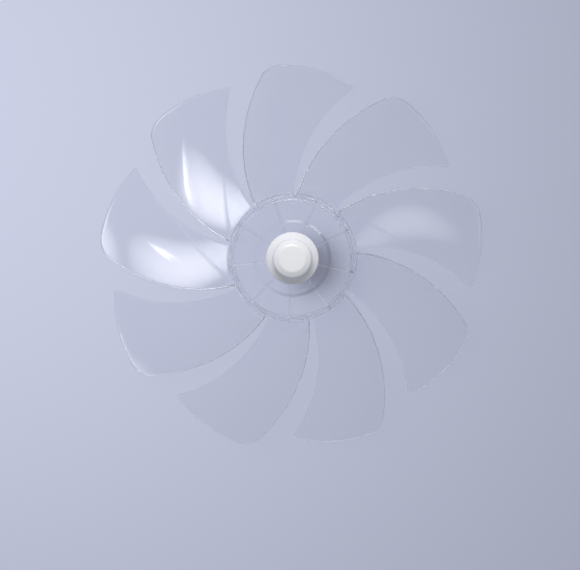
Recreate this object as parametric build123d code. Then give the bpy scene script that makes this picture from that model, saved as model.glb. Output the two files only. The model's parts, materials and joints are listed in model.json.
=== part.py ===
from build123d import *
from math import cos, radians, sin, sqrt
import os

# Clear moulded fan blade of a pedestal fan, with the white nut that holds it on the motor shaft.
# The blade lies on the rear rim of its hub, as it would on a bench. Z is the shaft axis, the front of
# the fan is up, and the origin is on the axis in the plane of the rear rim.
# Seen from the front it turns clockwise, so blade angles are counted clockwise from +Y, which lies
# halfway between two blade roots.
# Lengths are millimetres and angles are degrees.

# Blade wheel
sweep_diameter = 350.0
blade_count = 9

# Hub: a cup that is open to the rear, with a sloping front corner
hub_diameter = 114.6
hub_depth = 38.0
hub_wall = 2.6
hub_plate = 2.6
hub_corner_chamfer = 4.0

# Raised seat for the nut on the hub's front plate: a flat that is wider than the nut, with a sloping shoulder
seat_margin = 8.6
seat_height = 1.8
shoulder_width = 2.8

# Boss that takes the motor shaft, with a slot across its rear end for the shaft's drive pin
shaft_diameter = 8.0
shaft_clearance = 0.1
boss_wall = 6.0
boss_setback = 9.0
drive_pin_diameter = 3.0
drive_pin_clearance = 0.4
pin_slot_depth = 6.0

# Stiffening ribs inside the cup, one behind each blade
rib_thickness = 1.8
rib_height_at_boss = 16.0
rib_height_at_wall = 8.0

# Blade sections, stacked outwards from the hub: cambered bands that change evenly from root to tip
section_count = 10
blade_sweep = 25.9
sweep_power = 1.3
root_width = 33.8
tip_width = 91.4
root_front_gap = 5.5
root_rear_gap = 5.5
tip_front_rise = 1.5
tip_rear_drop = 1.5
root_camber = 2.6
tip_camber = 5.6
root_thickness = 2.4
tip_thickness = 1.6

# Blade tip, seen along the axis: one round outline, with a generous corner at the trailing edge.
# The corner's straight side follows the trailing edge between two shares of the blade's length.
tip_outline_radius = 111.5
tip_outline_sweep = 11.9
trailing_corner_radius = 24.0
corner_side_start = 0.75
corner_side_end = 0.9

# Nut: a flared skirt under a cap with a sloping shoulder, hollow inside, with ribs round a blind threaded boss
nut_diameter = 47.2
nut_rim_height = 1.8
nut_skirt_width = 6.2
nut_skirt_height = 6.5
nut_height = 18.5
nut_shoulder_width = 5.6
nut_shoulder_drop = 3.2
nut_wall = 2.2
nut_top_wall = 4.5
nut_thread_diameter = 6.8
nut_boss_wall = 3.6
nut_rib_count = 6
nut_rib_thickness = 1.6

# Places that follow from the sizes above
tip_radius = sweep_diameter / 2
hub_radius = hub_diameter / 2
seat_radius = nut_diameter / 2 + seat_margin
seat_z = hub_depth + seat_height
bore_radius = (shaft_diameter + shaft_clearance) / 2
boss_radius = bore_radius + boss_wall
blade_pitch = 360 / blade_count
root_angle = blade_pitch / 2
# A blade is trimmed in the middle of the hub's wall, and its innermost section lies wholly inside that
root_trim_radius = hub_radius - hub_wall / 2
root_plane = sqrt(root_trim_radius**2 - (root_width / 2 + root_thickness) ** 2) - hub_wall
STANDING = (Align.CENTER, Align.CENTER, Align.MIN)


def clockwise(distance, angle):
    """The point at a distance from the axis, at an angle clockwise from +Y."""
    return Vector(distance * sin(radians(angle)), distance * cos(radians(angle)))


def turned(*points):
    """A solid turned about Z from the corners of its half section."""
    return revolve(Plane.XZ * make_face(Polyline(*points, close=True)), Axis.Z)


def radial_plates(outline, thickness, count, first_angle):
    """Flat plates that stand round the axis, all with the same outline in distance and height."""
    plate = extrude(Plane.XZ * make_face(Polyline(*outline, close=True)), thickness / 2, both=True)
    return [Rot(0, 0, 90 - first_angle - 360 / count * k) * plate for k in range(count)]


def hub():
    """The cup with its seat: an outer form, less a core that leaves the shaft boss and the ribs standing."""
    outside = turned(
        (0, 0),
        (hub_radius, 0),
        (hub_radius, hub_depth - hub_corner_chamfer),
        (hub_radius - hub_corner_chamfer, hub_depth),
        (seat_radius + shoulder_width, hub_depth),
        (seat_radius, seat_z),
        (0, seat_z),
    )
    ceiling = hub_depth - hub_plate
    inner_chamfer = hub_corner_chamfer - hub_wall / 2
    core = turned(
        (0, 0),
        (hub_radius - hub_wall, 0),
        (hub_radius - hub_wall, ceiling - inner_chamfer),
        (hub_radius - hub_wall - inner_chamfer, ceiling),
        (0, ceiling),
    )
    rib_outline = [
        (0, seat_z),
        (hub_radius, seat_z),
        (hub_radius, ceiling - rib_height_at_wall),
        (hub_radius - hub_wall, ceiling - rib_height_at_wall),
        (boss_radius, ceiling - rib_height_at_boss),
        (0, ceiling - rib_height_at_boss),
    ]
    core -= Pos(0, 0, boss_setback) * Cylinder(boss_radius, hub_depth, align=STANDING)
    core -= radial_plates(rib_outline, rib_thickness, blade_count, root_angle)
    # The seam of the turned form goes to the middle of a blade root, away from the ends of the root's edges
    return Rot(0, 0, 90 - root_angle) * outside - core


def between(root_value, tip_value, share):
    """A value that changes evenly from a blade's root (share 0) to its tip (share 1)."""
    return root_value + share * (tip_value - root_value)


def section_plane(share):
    """The plane of one blade section, square to a radius, with x clockwise and y towards the front."""
    angle = root_angle + blade_sweep * share**sweep_power
    middle = clockwise(between(root_plane, tip_radius, share), angle)
    return Plane(middle, x_dir=clockwise(1, angle + 90), z_dir=clockwise(-1, angle))


def blade_section(share):
    """One blade section: a cambered band with its leading edge clockwise and to the rear."""
    half_width = between(root_width, tip_width, share) / 2
    front_z = hub_depth - root_front_gap + share * tip_front_rise
    rear_z = root_rear_gap - share * tip_rear_drop
    camber = between(root_camber, tip_camber, share)
    thickness = between(root_thickness, tip_thickness, share)
    front_line = ThreePointArc(
        (-half_width, front_z), (0, (front_z + rear_z) / 2 - camber), (half_width, rear_z)
    )
    return section_plane(share) * Face(Wire([front_line]).offset_2d(thickness, side=Side.RIGHT))


def trailing_edge(share):
    """A point of the trailing edge, seen along the axis."""
    return section_plane(share).from_local_coords((-between(root_width, tip_width, share) / 2, 0))


def tip_outline():
    """The round tip, cut off along the trailing edge, with the corner between them rounded."""
    middle = clockwise(tip_radius - tip_outline_radius, root_angle + tip_outline_sweep)
    near = trailing_edge(corner_side_start)
    far = trailing_edge(corner_side_end)
    along = (far - near).normalized()
    outward = along.rotate(Axis.Z, 90)
    start = near + outward * tip_thickness - along * sweep_diameter
    end = start + along * 2 * sweep_diameter
    inside = -outward * sweep_diameter
    kept_side = make_face(Polyline(start, end, end + inside, start + inside, close=True))
    outline = Pos(middle) * Circle(tip_outline_radius) & kept_side
    corner = outline.vertices().sort_by_distance(far)[0]
    return fillet(corner, trailing_corner_radius)


def blade():
    """One twisted blade, trimmed to the tip outline and to the middle of the hub's wall."""
    body = loft([blade_section(k / (section_count - 1)) for k in range(section_count)], ruled=True)
    body &= extrude(tip_outline(), 2 * hub_depth, both=True)
    return body - Cylinder(root_trim_radius, 4 * hub_depth)


def fan_blade():
    """The whole clear moulding: hub, blades, shaft bore and pin slot."""
    one = blade()
    body = hub() + [Rot(0, 0, -blade_pitch * k) * one for k in range(blade_count)]
    body -= Cylinder(bore_radius, 4 * hub_depth)
    pin_slot_width = drive_pin_diameter + drive_pin_clearance
    pin_slot = Box(2 * (boss_radius + hub_wall), pin_slot_width, pin_slot_depth, align=STANDING)
    return body - Pos(0, 0, boss_setback) * pin_slot


def blade_nut():
    """The white nut, seated on the hub: a turned shell with ribs round its threaded boss."""
    nut_radius = nut_diameter / 2
    cap_radius = nut_radius - nut_skirt_width
    thread_radius = nut_thread_diameter / 2
    outside = turned(
        (0, 0),
        (nut_radius, 0),
        (nut_radius, nut_rim_height),
        (cap_radius, nut_skirt_height),
        (cap_radius, nut_height - nut_shoulder_drop),
        (cap_radius - nut_shoulder_width, nut_height),
        (0, nut_height),
    )
    rib_outline = [
        (0, nut_rim_height),
        (nut_radius, nut_rim_height),
        (nut_radius, nut_height),
        (0, nut_height),
    ]
    inner_depth = nut_height - nut_top_wall
    core = Cylinder(cap_radius - nut_wall, inner_depth, align=STANDING)
    core -= Cylinder(thread_radius + nut_boss_wall, nut_height, align=STANDING)
    core -= radial_plates(rib_outline, nut_rib_thickness, nut_rib_count, 0)
    thread = Cylinder(thread_radius, inner_depth, align=STANDING)
    return Pos(0, 0, seat_z) * (outside - core - thread)


os.makedirs("parts", exist_ok=True)
for name, solid in {"fan_blade": fan_blade(), "blade_nut": blade_nut()}.items():
    export_step(solid, f"parts/{name}.step")
    print(name, round(solid.volume / 1000, 2), "cubic centimetres")
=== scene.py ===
# %% [markdown]
# # A clear fan blade and its nut
#
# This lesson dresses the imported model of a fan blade: one clear moulding with nine twisted blades round a
# cup-shaped hub, held on its motor shaft by a white nut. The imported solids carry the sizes. Blender adds
# the soft edges, the root fillets and the finish, because clear plastic shows itself mostly by how its
# edges bend the light.

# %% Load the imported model
import json
from math import cos, hypot, pi, radians, sin, sqrt, tan

import bmesh
import bpy
import numpy as np
from mathutils import Matrix, Quaternion, Vector


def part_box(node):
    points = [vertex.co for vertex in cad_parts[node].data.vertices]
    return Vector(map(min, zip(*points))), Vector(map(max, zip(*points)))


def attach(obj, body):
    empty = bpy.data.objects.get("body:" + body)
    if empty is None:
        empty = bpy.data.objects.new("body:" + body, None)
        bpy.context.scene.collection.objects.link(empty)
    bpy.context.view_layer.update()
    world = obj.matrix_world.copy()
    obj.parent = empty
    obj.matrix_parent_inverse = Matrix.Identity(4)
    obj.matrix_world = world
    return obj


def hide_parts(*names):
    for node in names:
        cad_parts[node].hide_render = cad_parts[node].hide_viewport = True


MM = 0.001

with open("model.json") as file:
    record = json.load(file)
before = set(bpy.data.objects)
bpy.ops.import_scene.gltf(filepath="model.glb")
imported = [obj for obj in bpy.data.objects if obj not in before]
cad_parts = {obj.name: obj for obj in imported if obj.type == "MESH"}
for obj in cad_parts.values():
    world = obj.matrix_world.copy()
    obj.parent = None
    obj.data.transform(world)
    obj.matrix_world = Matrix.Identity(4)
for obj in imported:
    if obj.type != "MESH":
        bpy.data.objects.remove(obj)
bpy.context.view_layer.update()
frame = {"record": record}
mounts = {mount["name"]: mount for mount in frame["record"]["mounts"]}

# %% [markdown]
# ## Sizes
#
# The same driving sizes as in the model, in millimetres. What the frame can tell is read from it: the
# nut's box gives the seat's height and the nut's own size, and the mounts give the bore and the thread.
# Blade angles are counted clockwise from +Y, seen from the front.

# %% Sizes
nut_low, nut_high = [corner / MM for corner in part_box("blade_nut")]
seat_z = nut_low.z
nut_radius = (nut_high.x - nut_low.x) / 2
nut_height = nut_high.z - nut_low.z
bore_radius = mounts["shaft_bore"]["dims"]["r_mm"]
thread_radius = mounts["nut_thread"]["dims"]["r_mm"]
thread_depth = mounts["nut_thread"]["dims"]["length_mm"]
boss_rear_z = seat_z - mounts["shaft_bore"]["dims"]["length_mm"]

blade_count = 9
tip_radius = 175.0
hub_radius = 57.3
hub_depth = 38.0
hub_wall = 2.6
hub_plate = 2.6
hub_corner = 4.0
seat_radius = 32.2
shoulder_width = 2.8
boss_radius = 10.05
rib_thickness = 1.8
rib_height_at_boss = 16.0
rib_height_at_wall = 8.0
pin_slot_width = 3.4
pin_slot_depth = 6.0

blade_pitch = 360 / blade_count
root_angle = blade_pitch / 2
blade_sweep = 25.9
sweep_power = 1.3
root_width, tip_width = 33.8, 91.4
root_front_gap, tip_front_rise = 5.5, 1.5
root_rear_gap, tip_rear_drop = 5.5, 1.5
root_camber, tip_camber = 2.6, 5.6
root_thickness, tip_thickness = 2.4, 1.6
tip_outline_radius = 111.5
tip_outline_sweep = 11.9
corner_radius = 24.0
corner_side_start, corner_side_end = 0.75, 0.9
root_trim_radius = hub_radius - hub_wall / 2
root_plane = sqrt(root_trim_radius**2 - (root_width / 2 + root_thickness) ** 2) - hub_wall
print("seat at", round(seat_z, 2), "nut", round(nut_radius, 2), "by", round(nut_height, 2))


# %% [markdown]
# ## Helpers for meshes
#
# Every piece here is a closed mesh made from numbers. One helper turns vertices and faces into an object,
# one turns an outline about the axis as a lathe does, and one joins or cuts closed meshes. The Manifold
# solver is chosen for that because it keeps closed meshes closed, and a clear piece must have no faces
# inside it.

# %% Mesh helpers
weld_distance = 1e-7
crease_angle = 32


def new_object(name, points, faces):
    """A mesh object from points in millimetres, with its faces turned outwards."""
    mesh = bpy.data.meshes.new(name)
    mesh.from_pydata([tuple(point) for point in np.asarray(points) * MM], [], faces)
    work = bmesh.new()
    work.from_mesh(mesh)
    bmesh.ops.remove_doubles(work, verts=work.verts, dist=weld_distance)
    bmesh.ops.recalc_face_normals(work, faces=work.faces)
    work.to_mesh(mesh)
    work.free()
    made = bpy.data.objects.new(name, mesh)
    bpy.context.scene.collection.objects.link(made)
    return made


def combine(body, others, operation):
    """Joins other closed meshes to a body, or cuts them from it, and deletes them."""
    for other in others:
        modifier = body.modifiers.new("combine", "BOOLEAN")
        modifier.operation = operation
        modifier.solver = "MANIFOLD"
        modifier.object = other
        bpy.context.view_layer.objects.active = body
        bpy.ops.object.modifier_apply(modifier=modifier.name)
        bpy.data.objects.remove(other)
    return body


def smooth(piece, sharp_angle):
    """Smooth shading, with creases kept where two faces meet at more than the sharp angle."""
    piece.data.polygons.foreach_set("use_smooth", [True] * len(piece.data.polygons))
    piece.data.set_sharp_from_angle(angle=radians(sharp_angle))
    piece.data.update()
    return piece


def rounded(corners, steps=6):
    """A closed outline from corners (distance, height, radius), with each corner rounded by an arc."""
    outline = []
    for k, (x, z, radius) in enumerate(corners):
        here = np.array([x, z])
        before = np.array(corners[k - 1][:2]) - here
        after = np.array(corners[(k + 1) % len(corners)][:2]) - here
        before /= hypot(*before)
        after /= hypot(*after)
        if radius == 0:
            outline.append(here)
            continue
        half_angle = np.arccos(np.clip(before @ after, -1, 1)) / 2
        reach = radius / tan(half_angle)
        middle = here + (before + after) / hypot(*(before + after)) * radius / sin(half_angle)
        start = here + before * reach - middle
        turn = (pi - 2 * half_angle) * np.sign(before[1] * after[0] - before[0] * after[1])
        for t in np.linspace(0, turn, steps + 1):
            turned_x = start[0] * cos(t) - start[1] * sin(t)
            turned_z = start[0] * sin(t) + start[1] * cos(t)
            outline.append(middle + (turned_x, turned_z))
    return outline


def turned(name, outline, segments):
    """A closed outline of (distance, height) turned about the axis."""
    angles = np.arange(segments) * 2 * pi / segments
    distance, height = np.array(outline).T
    points = np.stack(
        [
            np.outer(np.cos(angles), distance),
            np.outer(np.sin(angles), distance),
            np.outer(np.ones(segments), height),
        ],
        -1,
    )
    count = len(outline)
    faces = []
    for a in range(segments):
        b = (a + 1) % segments
        for k in range(count):
            following = (k + 1) % count
            faces.append((a * count + k, b * count + k, b * count + following, a * count + following))
    return new_object(name, points.reshape(-1, 3), faces)


def plate(name, stations, top, thickness, edge_radius, angle, arc_points=4):
    """An upright plate along a radius between two stations (distance, lower height), its lower edge soft."""
    half = thickness / 2
    points = []
    faces = []
    arc = np.linspace(0, pi / 2, arc_points)
    for distance, low in stations:
        left = [(-half + edge_radius * (1 - sin(t)), low + edge_radius * (1 - cos(t))) for t in arc[::-1]]
        right = [(-across, height) for across, height in left[::-1]]
        for across, height in [(-half, top)] + left + right + [(half, top)]:
            x = distance * sin(angle) + across * cos(angle)
            y = distance * cos(angle) - across * sin(angle)
            points.append((x, y, height))
    count = len(points) // 2
    for k in range(count):
        following = (k + 1) % count
        faces.append((k, following, count + following, count + k))
    faces.append(tuple(range(count)))
    faces.append(tuple(range(count, 2 * count)))
    return new_object(name, points, faces)


# %% [markdown]
# ## The blade surface
#
# A fan blade is a stack of cambered arcs, square to a radius, that widen, flatten and lean forwards from
# root to tip. It could be modelled by hand and twisted with modifiers, but a formula gives the same
# surface as the model at any fineness. A point is found from its share of the way to the tip, its place
# across the arc and its depth behind the front face.

# %% Blade formula
def between(root_value, tip_value, share):
    """A value that changes evenly from the root (share 0) to the tip (share 1)."""
    return root_value + share * (tip_value - root_value)


def blade_thickness(share):
    """How thick the blade is at a share."""
    return between(root_thickness, tip_thickness, share)


def blade_arc(share):
    """The front face's arc at a share: middle height, chord direction, centre, radius and half turn."""
    half_width = between(root_width, tip_width, share) / 2
    front_z = hub_depth - root_front_gap + share * tip_front_rise
    rear_z = root_rear_gap - share * tip_rear_drop
    camber = between(root_camber, tip_camber, share)
    half_drop = (front_z - rear_z) / 2
    half_chord = np.hypot(half_width, half_drop)
    along_x = half_width / half_chord
    along_z = -half_drop / half_chord
    centre_depth = (camber**2 - half_chord**2) / (2 * camber * along_x)
    radius = np.hypot(half_chord, centre_depth)
    return (front_z + rear_z) / 2, along_x, along_z, centre_depth, radius, np.arcsin(half_chord / radius)


def blade_point(share, across, depth):
    """Points of the blade: across is -1 at the trailing edge and 1 at the leading edge."""
    middle_z, along_x, along_z, centre_depth, radius, half_turn = blade_arc(share)
    turn = across * half_turn
    reach = radius + depth
    x = centre_depth * along_z + reach * (np.sin(turn) * along_x + np.cos(turn) * along_z)
    z = middle_z - centre_depth * along_x + reach * (np.sin(turn) * along_z - np.cos(turn) * along_x)
    angle = np.radians(root_angle + blade_sweep * share**sweep_power)
    middle = between(root_plane, tip_radius, share)
    return np.stack(
        [middle * np.sin(angle) + x * np.cos(angle), middle * np.cos(angle) - x * np.sin(angle), z], -1
    )


def inset_across(share, across):
    """A place across the blade, drawn in to leave room for a round edge of half the thickness."""
    radius, half_turn = blade_arc(share)[4:]
    return across * (1 - blade_thickness(share) / 2 / (radius * half_turn))


def middle_point(share, across):
    """A point halfway through the blade's thickness."""
    return blade_point(share, inset_across(share, across), blade_thickness(share) / 2)


# %% [markdown]
# ## The tip's outline
#
# Seen from the front, the tip is one large arc, with a generous corner where it meets the trailing edge.
# The outline is written as a distance: negative inside, positive outside. Where the blade ends is then
# found by halving steps along the blade, which needs no list of points.

# %% Tip outline
def plan(distance, angle):
    """A point seen from the front, at an angle clockwise from +Y."""
    return np.array([distance * sin(radians(angle)), distance * cos(radians(angle))])


tip_middle = plan(tip_radius - tip_outline_radius, root_angle + tip_outline_sweep)
side_near, side_far = [
    blade_point(np.float64(share), -1.0, 0.0)[:2] for share in (corner_side_start, corner_side_end)
]
side_along = (side_far - side_near) / hypot(*(side_far - side_near))
side_out = np.array([-side_along[1], side_along[0]])
side_start = side_near + side_out * tip_thickness


def corner_middle():
    """The middle of the round corner: as far inside the tip's arc as it is inside the straight side."""
    foot = side_start - side_out * corner_radius
    to_foot = foot - tip_middle
    along = -(to_foot @ side_along)
    off_line = to_foot + along * side_along
    reach = sqrt((tip_outline_radius - corner_radius) ** 2 - off_line @ off_line)
    return tip_middle + off_line + side_along * reach


corner = corner_middle()
corner_out = (corner - tip_middle) / hypot(*(corner - tip_middle))


def outside_tip(points):
    """How far points lie outside the tip's outline, seen from the front."""
    flat = points[..., :2]
    beyond_arc = np.hypot(*np.moveaxis(flat - tip_middle, -1, 0)) - tip_outline_radius
    beyond_side = (flat - side_start) @ side_out
    from_corner = flat - corner
    beyond_corner = np.hypot(*np.moveaxis(from_corner, -1, 0)) - corner_radius
    # The corner counts between the directions in which it touches the arc and the side
    turn = corner_out[0] * side_out[1] - corner_out[1] * side_out[0]
    past_arc = (corner_out[0] * from_corner[..., 1] - corner_out[1] * from_corner[..., 0]) * turn > 0
    past_side = (from_corner[..., 0] * side_out[1] - from_corner[..., 1] * side_out[0]) * turn > 0
    return np.where(past_arc & past_side, beyond_corner, np.maximum(beyond_arc, beyond_side))


def halved(test, low, high, count, rounds=40):
    """The shares at which a test goes from false to true, for a count of places across the blade."""
    low = np.full(count, low)
    high = np.full(count, high)
    for _ in range(rounds):
        middle = (low + high) / 2
        passed = test(middle)
        high = np.where(passed, middle, high)
        low = np.where(passed, low, middle)
    return (low + high) / 2


# %% [markdown]
# ## One blade
#
# The blade is a front and a rear sheet of the same grid, closed by a half-round edge. Moulded blades have
# a small fillet where they leave the hub, so the first rows flare out along a quarter circle and run on
# into the hub's wall. A grid is used rather than a bevel, because its rows follow the blade and the light
# runs smoothly over them.

# %% One blade
columns = 49
blade_rows = 50
fillet_rows = 6
edge_steps = 6
root_fillet = 2.0
root_sink = 1.4
across = -np.cos(np.linspace(0, pi, columns))

quarter = np.linspace(0, pi / 2, fillet_rows + 1)
wall_distance = np.concatenate([[-root_sink], root_fillet * (1 - np.cos(quarter))])
flare = np.concatenate([[root_fillet], root_fillet * (1 - np.sin(quarter))])


def root_share(distance):
    """Where the blade's middle is at a distance from the hub's wall."""

    def passed(share):
        return np.hypot(*middle_point(share, across)[:, :2].T) > hub_radius + distance

    return halved(passed, 0.0, 0.5, columns)


def tip_share():
    """Where the round edge of the tip begins, half a thickness inside the outline."""

    def passed(share):
        return outside_tip(middle_point(share, across)) > -blade_thickness(share) / 2

    return halved(passed, 0.5, 1.0, columns)


def blade_grid():
    """The shares and the half thicknesses of the grid, from the root's end to the tip."""
    root = [root_share(distance) for distance in wall_distance]
    last = root[-1]
    end = tip_share()
    steps = np.linspace(0, 1, blade_rows + 1)[1:]
    shares = np.array(root + [last + (end - last) * step for step in steps])
    spread = np.concatenate([flare, np.zeros(blade_rows)])[:, None]
    return shares, blade_thickness(shares) / 2 + spread


def blade_mesh(name):
    """One closed blade, with its root sunk into the hub's wall."""
    shares, half = blade_grid()
    rows = len(shares)
    places = inset_across(shares, across[None, :])
    middle_depth = blade_thickness(shares) / 2
    front = blade_point(shares, places, middle_depth - half)
    rear = blade_point(shares, places, middle_depth + half)
    index = np.arange(rows * columns).reshape(rows, columns)
    border = np.concatenate([index[:, 0], index[-1, 1:-1], index[::-1, -1]])
    edge_front = front.reshape(-1, 3)[border]
    edge_rear = rear.reshape(-1, 3)[border]
    outward_half = (edge_front - edge_rear) / 2
    tangent = np.gradient((edge_front + edge_rear) / 2, axis=0)
    sideways = np.cross(outward_half, tangent)
    sideways *= (np.linalg.norm(outward_half, axis=1) / np.linalg.norm(sideways, axis=1))[:, None]
    rings = [
        (edge_front + edge_rear) / 2 + cos(t) * outward_half + sin(t) * sideways
        for t in np.linspace(0, pi, edge_steps + 1)[1:-1]
    ]
    sheet = rows * columns
    chain = [border]
    for k in range(len(rings)):
        chain.append(2 * sheet + k * len(border) + np.arange(len(border)))
    chain.append(border + sheet)
    faces = []
    for i in range(rows - 1):
        for j in range(columns - 1):
            a, b, c, d = index[i, j], index[i, j + 1], index[i + 1, j + 1], index[i + 1, j]
            faces.append((a, b, c, d))
            faces.append((d + sheet, c + sheet, b + sheet, a + sheet))
    for near, far in zip(chain, chain[1:]):
        for k in range(len(border) - 1):
            faces.append((near[k], near[k + 1], far[k + 1], far[k]))
    for j in range(columns - 1):
        faces.append((index[0, j], index[0, j + 1], index[0, j + 1] + sheet, index[0, j] + sheet))
    faces.append(tuple(ring[0] for ring in chain))
    faces.append(tuple(ring[-1] for ring in chain))
    points = np.concatenate([front.reshape(-1, 3), rear.reshape(-1, 3)] + rings)
    return new_object(name, points, [tuple(int(v) for v in face) for face in faces])


def blade_copies():
    """Nine equal blades round the axis."""
    first = blade_mesh("blade")
    copies = [first]
    for k in range(1, blade_count):
        copy = bpy.data.objects.new(f"blade_{k}", first.data.copy())
        copy.data.transform(Matrix.Rotation(-k * radians(blade_pitch), 4, "Z"))
        bpy.context.scene.collection.objects.link(copy)
        copies.append(copy)
    return copies


blades = blade_copies()
print("one blade has", len(blades[0].data.polygons), "faces")

# %% [markdown]
# ## The hub
#
# The hub is a cup that opens to the rear, with a flat raised seat for the nut, a boss for the motor shaft
# and a stiffening rib behind each blade. Turned on a lathe, its section is one closed outline, and each
# corner gets the small radius that a mould has. The ribs and blades are joined to it, and the slot for
# the shaft's drive pin is cut across the boss.

# %% Hub outline
hub_segments = 288
bore_mouth_round = 0.4
seat_round = 1.0
shoulder_round = 1.2
hub_corner_round = 2.0
rim_round = 0.8
inner_corner_round = 1.4
boss_root_round = 1.5
boss_end_round = 0.8
boss_mouth_round = 0.5
rib_edge_round = 0.6
# How far the ribs sink into the boss, the wall and the plate, and how far the slot's cutter overshoots
rib_sink_in_boss = 2
rib_sink_in_wall = 0.3
rib_sink_in_plate = 0.5
slot_overshoot = 2
ceiling = hub_depth - hub_plate
inner_radius = hub_radius - hub_wall
inner_corner = hub_corner - hub_wall / 2
hub_outline = rounded([
    (bore_radius, seat_z, bore_mouth_round),
    (seat_radius, seat_z, seat_round),
    (seat_radius + shoulder_width, hub_depth, shoulder_round),
    (hub_radius - hub_corner, hub_depth, hub_corner_round),
    (hub_radius, hub_depth - hub_corner, hub_corner_round),
    (hub_radius, 0, rim_round),
    (inner_radius, 0, rim_round),
    (inner_radius, ceiling - inner_corner, inner_corner_round),
    (inner_radius - inner_corner, ceiling, inner_corner_round),
    (boss_radius, ceiling, boss_root_round),
    (boss_radius, boss_rear_z, boss_end_round),
    (bore_radius, boss_rear_z, boss_mouth_round),
])
print("hub outline", len(hub_outline), "points")

# %% Ribs, slot and joining
rib_slope = (rib_height_at_boss - rib_height_at_wall) / (inner_radius - boss_radius)
rib_stations = [
    (distance, ceiling - rib_height_at_boss + rib_slope * (distance - boss_radius))
    for distance in (boss_radius - rib_sink_in_boss, inner_radius + rib_sink_in_wall)
]
fan = turned("fan_blade_clear", hub_outline, hub_segments)
ribs = [
    plate(
        f"rib_{k}",
        rib_stations,
        ceiling + rib_sink_in_plate,
        rib_thickness,
        rib_edge_round,
        radians(root_angle + k * blade_pitch),
    )
    for k in range(blade_count)
]
slot_half = np.array([boss_radius + slot_overshoot, pin_slot_width / 2, pin_slot_depth])
slot_corners = [(x, y, z) for x in (-1, 1) for y in (-1, 1) for z in (-1, 1)]
slot_points = slot_corners * slot_half + (0, 0, boss_rear_z)
slot_faces = [(0, 1, 3, 2), (4, 6, 7, 5), (0, 4, 5, 1), (2, 3, 7, 6), (0, 2, 6, 4), (1, 5, 7, 3)]
pin_slot = new_object("pin_slot", slot_points, slot_faces)
combine(fan, ribs, "UNION")
combine(fan, [pin_slot], "DIFFERENCE")
combine(fan, blades, "UNION")
smooth(fan, crease_angle)
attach(fan, "root")
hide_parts("fan_blade")
print("clear moulding", len(fan.data.polygons), "faces")

# %% [markdown]
# ## The nut
#
# The nut is a white moulding turned about the same axis: a flared skirt, a neck and a rounded cap. Inside
# it is hollow, with ribs round a threaded boss, which show from behind through the hub's clear plate. The
# thread is a cylinder whose radius rises and falls along a left-hand helix, cut out of the boss.

# %% Nut outline
nut_segments = 160
nut_rim_height = 1.8
nut_skirt_width = 6.2
nut_skirt_height = 6.5
nut_shoulder_width = 5.6
nut_shoulder_drop = 3.2
nut_wall = 2.2
nut_boss_wall = 3.6
nut_rib_count = 6
nut_rib_thickness = 1.6
thread_pitch = 1.25
thread_height = 0.6
thread_flank_slope = 1.6
thread_root_flat = 0.2
thread_mouth = 0.3
plug_overshoot = 0.5
cap_top_round = 4.0
cap_side_round = 3.4
neck_round = 3.2
skirt_round = 0.9
foot_round = 0.3
mouth_round = 0.4
hollow_round = 1.0
nut_rib_edge_round = 0.4
# How far the nut's ribs sink into its boss, its wall and its top
nut_rib_sink_in_boss = 1
nut_rib_sink_in_wall = 0.6
nut_rib_sink_in_top = 0.6
cap_radius = nut_radius - nut_skirt_width
hollow_radius = cap_radius - nut_wall
nut_boss_radius = thread_radius + nut_boss_wall
nut_outline = rounded([
    (0, nut_height, 0),
    (cap_radius - nut_shoulder_width, nut_height, cap_top_round),
    (cap_radius, nut_height - nut_shoulder_drop, cap_side_round),
    (cap_radius, nut_skirt_height, neck_round),
    (nut_radius, nut_rim_height, skirt_round),
    (nut_radius, 0, foot_round),
    (hollow_radius, 0, mouth_round),
    (hollow_radius, thread_depth, hollow_round),
    (nut_boss_radius, thread_depth, hollow_round),
    (nut_boss_radius, 0, mouth_round),
    (0, 0, 0),
], steps=8)
print("nut outline", len(nut_outline), "points")


# %% Thread
def thread_plug(name, radius, depth, pitch, height, segments=64, rows_per_turn=10):
    """A closed plug with a left-hand helical ridge, wider at its mouth, to be cut out of a boss."""
    rows = int(depth / pitch * rows_per_turn)
    points = []
    faces = []
    for i in range(rows + 1):
        z = depth * i / rows
        for k in range(segments):
            angle = 2 * pi * k / segments
            phase = (z / pitch + k / segments) % 1
            flank = thread_flank_slope * (1 - abs(2 * phase - 1)) - thread_root_flat
            ridge = height * min(1, max(0, flank))
            mouth = max(0, height + thread_mouth - z)
            distance = radius + max(ridge, mouth)
            points.append((distance * cos(angle), distance * sin(angle), z if i else -plug_overshoot))
    for i in range(rows):
        for k in range(segments):
            following = (k + 1) % segments
            a = i * segments + k
            b = i * segments + following
            faces.append((a, b, b + segments, a + segments))
    faces.append(tuple(range(segments)))
    faces.append(tuple(range(rows * segments, (rows + 1) * segments)))
    return new_object(name, points, faces)


# %% Nut ribs and joining
nut = turned("blade_nut_white", nut_outline, nut_segments)
nut_rib_stations = [
    (nut_boss_radius - nut_rib_sink_in_boss, nut_rim_height),
    (hollow_radius + nut_rib_sink_in_wall, nut_rim_height),
]
nut_ribs = [
    plate(
        f"nut_rib_{k}",
        nut_rib_stations,
        thread_depth + nut_rib_sink_in_top,
        nut_rib_thickness,
        nut_rib_edge_round,
        radians(k * 360 / nut_rib_count),
    )
    for k in range(nut_rib_count)
]
combine(nut, nut_ribs, "UNION")
thread = thread_plug("thread", thread_radius, thread_depth, thread_pitch, thread_height)
combine(nut, [thread], "DIFFERENCE")
nut.data.transform(Matrix.Translation((0, 0, seat_z * MM)))
smooth(nut, crease_angle)
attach(nut, "root")
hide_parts("blade_nut")
print("nut", len(nut.data.polygons), "faces")


# %% [markdown]
# ## Shader sums
#
# Node trees are easier to read as sums. This small class stands for a socket: adding, subtracting or
# multiplying two of them places a Math node, and one method places any other node.

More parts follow.
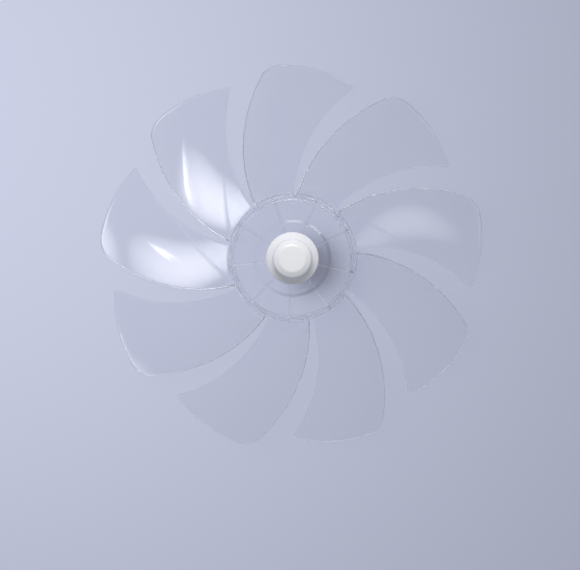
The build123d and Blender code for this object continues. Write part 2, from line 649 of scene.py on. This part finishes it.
# %% Shader sums
class Flow:
    """A socket in a node tree that takes part in sums."""

    def __init__(self, tree, socket=None):
        self.tree = tree
        self.socket = socket

    def node(self, kind, settings, inputs, output=0):
        """Adds a node: its settings first, then the values or links of its sockets."""
        made = self.tree.nodes.new(kind)
        for name, value in settings.items():
            setattr(made, name, value)
        for key, value in inputs.items():
            if isinstance(value, Flow):
                self.tree.links.new(value.socket, made.inputs[key])
            else:
                made.inputs[key].default_value = value
        return Flow(self.tree, made.outputs[output] if made.outputs else None)

    def sum(self, operation, left, right):
        """Adds a Math node."""
        return self.node("ShaderNodeMath", {"operation": operation}, {0: left, 1: right})

    def __add__(self, other):
        return self.sum("ADD", self, other)

    def __radd__(self, other):
        return self.sum("ADD", other, self)

    def __sub__(self, other):
        return self.sum("SUBTRACT", self, other)

    def __rsub__(self, other):
        return self.sum("SUBTRACT", other, self)

    def __mul__(self, other):
        return self.sum("MULTIPLY", self, other)

    def __rmul__(self, other):
        return self.sum("MULTIPLY", other, self)


def material(name):
    """An empty material, and its node tree as a flow."""
    made = bpy.data.materials.new(name)
    made.use_nodes = True
    made.node_tree.nodes.clear()
    return made, Flow(made.node_tree)


def noise(flow, scale, detail):
    """A soft cloudy value from 0 to 1, fixed to the object. The scale counts clouds in a metre."""
    place = flow.node("ShaderNodeTexCoord", {}, {}, "Object")
    return flow.node("ShaderNodeTexNoise", {}, {"Vector": place, "Scale": scale, "Detail": detail}, "Fac")


def blend(flow, factor, first, second):
    """A colour between two colours."""
    return flow.node(
        "ShaderNodeMix", {"data_type": "RGBA"}, {"Factor": factor, 6: (*first, 1), 7: (*second, 1)}, 2
    )


# %% [markdown]
# ## Clear plastic
#
# The blade is moulded in a clear resin with a faint cool tint. A mould leaves slow waves in such a
# surface, and handling leaves a faint haze, so the bump is long and shallow and the roughness changes a
# little. Clear plastic lets lamps shine through it: shadow rays meet a transparent shader instead, so
# that the floor under the blades stays bright.

# %% Clear plastic
def clear_plastic():
    """Clear resin with a faint cool tint, slow waves and a little haze."""
    cool_tint = (0.94, 0.955, 0.98)
    pale_tint = (0.985, 0.99, 0.995)
    made, flow = material("clear_plastic")
    tint = blend(flow, noise(flow, 9, 2), cool_tint, pale_tint)
    haze = 0.02 + 0.05 * noise(flow, 28, 4)
    waves = noise(flow, 22, 1)
    bump = flow.node("ShaderNodeBump", {}, {"Strength": 0.25, "Distance": 0.0006, "Height": waves})
    body = flow.node("ShaderNodeBsdfPrincipled", {}, {
        "Base Color": tint,
        "Roughness": haze,
        "IOR": 1.57,
        "Transmission Weight": 1.0,
        "Normal": bump,
    })
    lamp_light = flow.node("ShaderNodeBsdfTransparent", {}, {"Color": (0.975, 0.98, 0.99, 1)})
    is_shadow = flow.node("ShaderNodeLightPath", {}, {}, "Is Shadow Ray")
    mixed = flow.node("ShaderNodeMixShader", {}, {0: is_shadow, 1: body, 2: lamp_light})
    flow.node("ShaderNodeOutputMaterial", {}, {"Surface": mixed})
    return made


fan.data.materials.clear()
fan.data.materials.append(clear_plastic())
# The floor's own soft light passes the clear plastic by, so that no bent light is counted twice there
fan.visible_diffuse = False
print("clear plastic on", fan.name)


# %% [markdown]
# ## White plastic
#
# The nut is a bright glossy white. Its tone drifts a little between a duller and a brighter white, and a
# fine grain in the roughness and the bump keeps its highlights from looking like glass.

# %% White plastic
def white_plastic():
    """Glossy white with a slight drift of tone and a fine grain."""
    dull_white = (0.87, 0.875, 0.89)
    bright_white = (0.93, 0.935, 0.945)
    made, flow = material("white_plastic")
    shade = blend(flow, noise(flow, 60, 3), dull_white, bright_white)
    gloss = 0.10 + 0.08 * noise(flow, 220, 4)
    grain = noise(flow, 1500, 2)
    bump = flow.node("ShaderNodeBump", {}, {"Strength": 0.08, "Distance": 0.00005, "Height": grain})
    body = flow.node("ShaderNodeBsdfPrincipled", {}, {
        "Base Color": shade,
        "Roughness": gloss,
        "IOR": 1.5,
        "Normal": bump,
    })
    flow.node("ShaderNodeOutputMaterial", {}, {"Surface": body})
    return made


nut.data.materials.clear()
nut.data.materials.append(white_plastic())
print("white plastic on", nut.name)

# %% [markdown]
# ## Floor
#
# The part lies on a plain pale floor. Clear plastic takes its colour from what lies behind it, so the
# floor's cool tone is most of the colour of the blades.

# %% Floor
floor_half = 3000
floor = new_object(
    "floor",
    [(x, y, 0) for x, y in ((-1, -1), (1, -1), (1, 1), (-1, 1))] * np.array([floor_half, floor_half, 1]),
    [(0, 1, 2, 3)],
)
floor_paint, floor_flow = material("floor_paint")
floor_body = floor_flow.node("ShaderNodeBsdfPrincipled", {}, {
    "Base Color": (0.605, 0.63, 0.775, 1),
    "Roughness": 0.8,
})
floor_flow.node("ShaderNodeOutputMaterial", {}, {"Surface": floor_body})
floor.data.materials.append(floor_paint)
print("floor", 2 * floor_half * MM, "m wide")

# %% [markdown]
# ## Light
#
# A soft panel on the left lights the floor, which fades to the right, and another one lights the nut.
# Clear blades show where they mirror a lamp, so three long panels and two thin strips stand where blades
# on the left and on the right mirror them towards the camera. A photographer would use lamps behind
# cloth, and cards to keep their light apart. Here each lamp fades towards its rim, which keeps hard
# outlines off the blades, and light linking keeps each lamp's light on one piece alone.

# %% Lights
camera_roll = radians(3.1)
photo_right = Vector((cos(camera_roll), sin(camera_roll), 0))
photo_up = Vector((-sin(camera_roll), cos(camera_roll), 0))


def studio(right, up, height):
    """A place in metres from millimetres to the right, up the picture and above the floor."""
    return (photo_right * right + photo_up * up + Vector((0, 0, height))) * MM


def panel(name, place, size, brightness, roll=0):
    """An oval soft lamp that faces the hub and fades to its rim. Brightness is that of its middle."""
    lamp = bpy.data.lights.new(name, "AREA")
    lamp.shape = "ELLIPSE"
    lamp.size, lamp.size_y = size
    lamp.energy = brightness * pi * (pi / 4 * lamp.size * lamp.size_y)
    turn = (studio(0, 0, hub_depth) - place).to_track_quat("-Z", "Y") @ Quaternion((0, 0, 1), roll)
    lamp.use_nodes = True
    lamp.node_tree.nodes.clear()
    flow = Flow(lamp.node_tree)
    spot = flow.node("ShaderNodeNewGeometry", {}, {}, "Position")
    offset = flow.node("ShaderNodeVectorMath", {"operation": "SUBTRACT"}, {0: spot, 1: place})
    x, y = [
        flow.node("ShaderNodeVectorMath", {"operation": "DOT_PRODUCT"}, {0: offset, 1: turn @ axis}, "Value")
        for axis in (Vector((2 / lamp.size, 0, 0)), Vector((0, 2 / lamp.size_y, 0)))
    ]
    glow = flow.node("ShaderNodeEmission", {}, {"Color": 1 - x * x - y * y})
    flow.node("ShaderNodeOutputLight", {}, {"Surface": glow})
    made = bpy.data.objects.new(name, lamp)
    made.location = place
    made.rotation_euler = turn.to_euler()
    bpy.context.scene.collection.objects.link(made)
    return made


def only_on(lamp, *pieces):
    """Keeps a lamp's light off everything but these pieces."""
    receivers = bpy.data.collections.new(f"{lamp.name}_on")
    for piece in pieces:
        receivers.objects.link(piece)
    lamp.light_linking.receiver_collection = receivers


glance_roll = radians(38)
only_on(panel("floor_panel", studio(-420, 170, 850), (0.8, 0.8), 7.2), floor)
only_on(panel("nut_panel", studio(-60, 560, 800), (0.7, 0.6), 11.5), nut)
for name, place, size, brightness in (
    ("glance_upper", studio(530, 650, 500), (0.40, 0.92), 4.4),
    ("glance_left", studio(56, 850, 520), (0.46, 0.85), 3.7),
    ("glance_right", studio(117, -756, 630), (0.25, 0.6), 1.2),
    ("streak_upper", studio(624, 500, 495), (0.018, 0.6), 10),
    ("streak_left", studio(180, 720, 645), (0.018, 0.2), 10),
):
    only_on(panel(name, place, size, brightness, glance_roll), fan)

# %% [markdown]
# ## Sky
#
# The sky is pale overhead and darker near the horizon, as in a room with a bright ceiling. It could be
# one flat colour, but a slow change gives the clear plastic something to mirror and to bend.

# %% Sky
world = bpy.data.worlds.new("studio")
world.use_nodes = True
world.node_tree.nodes.clear()
sky_flow = Flow(world.node_tree)
direction = sky_flow.node("ShaderNodeTexCoord", {}, {}, "Generated")
sky_height = sky_flow.node("ShaderNodeSeparateXYZ", {}, {"Vector": direction}, "Z")
horizon_colour = (0.21, 0.215, 0.235)
overhead_colour = (0.40, 0.405, 0.43)
sky = blend(sky_flow, sky_height, horizon_colour, overhead_colour)
sky_body = sky_flow.node("ShaderNodeBackground", {}, {"Color": sky})
sky_flow.node("ShaderNodeOutputWorld", {}, {"Surface": sky_body})
bpy.context.scene.world = world
bpy.context.scene.view_settings.view_transform = "Standard"
print("sky", world.name)

# %% [markdown]
# ## Light inside the plastic
#
# Light that enters a clear plate at its edge is mirrored between the two faces many times before it
# leaves, as in a glass fibre. With too few bounces those paths end in the dark, and every edge turns
# black. More bounces let the edges of the blades shine as thin grey and white lines.

# %% Light paths
light_bounces = 48
light_paths = bpy.context.scene.cycles
light_paths.max_bounces = light_bounces
light_paths.transmission_bounces = light_bounces
light_paths.glossy_bounces = light_bounces
print("light is followed for", light_bounces, "bounces")

# %% [markdown]
# ## Camera
#
# The camera looks almost straight down the shaft from two metres away, from slightly above in the
# picture, and is rolled a little about the axis, which puts the blades where they stand in the picture.

# %% Camera
camera_distance = 2000
camera_tilt = radians(2)
frame_width = 528.7
sensor_width = 36
aim_right = -2.1
aim_up = -24.8
aim_point = studio(aim_right, aim_up, hub_depth / 2)
away = photo_up * sin(camera_tilt) + Vector((0, 0, cos(camera_tilt)))
camera = bpy.data.cameras.new("camera")
camera.sensor_width = sensor_width
camera.lens = sensor_width * camera_distance / frame_width
viewer = bpy.data.objects.new("camera", camera)
up_axis = away.cross(photo_right)
camera_turn = Matrix((photo_right, up_axis, away)).transposed().to_4x4()
viewer.matrix_world = Matrix.Translation(aim_point + away * camera_distance * MM) @ camera_turn
bpy.context.scene.collection.objects.link(viewer)
bpy.context.scene.camera = viewer
print("lens", round(camera.lens, 1), "mm")
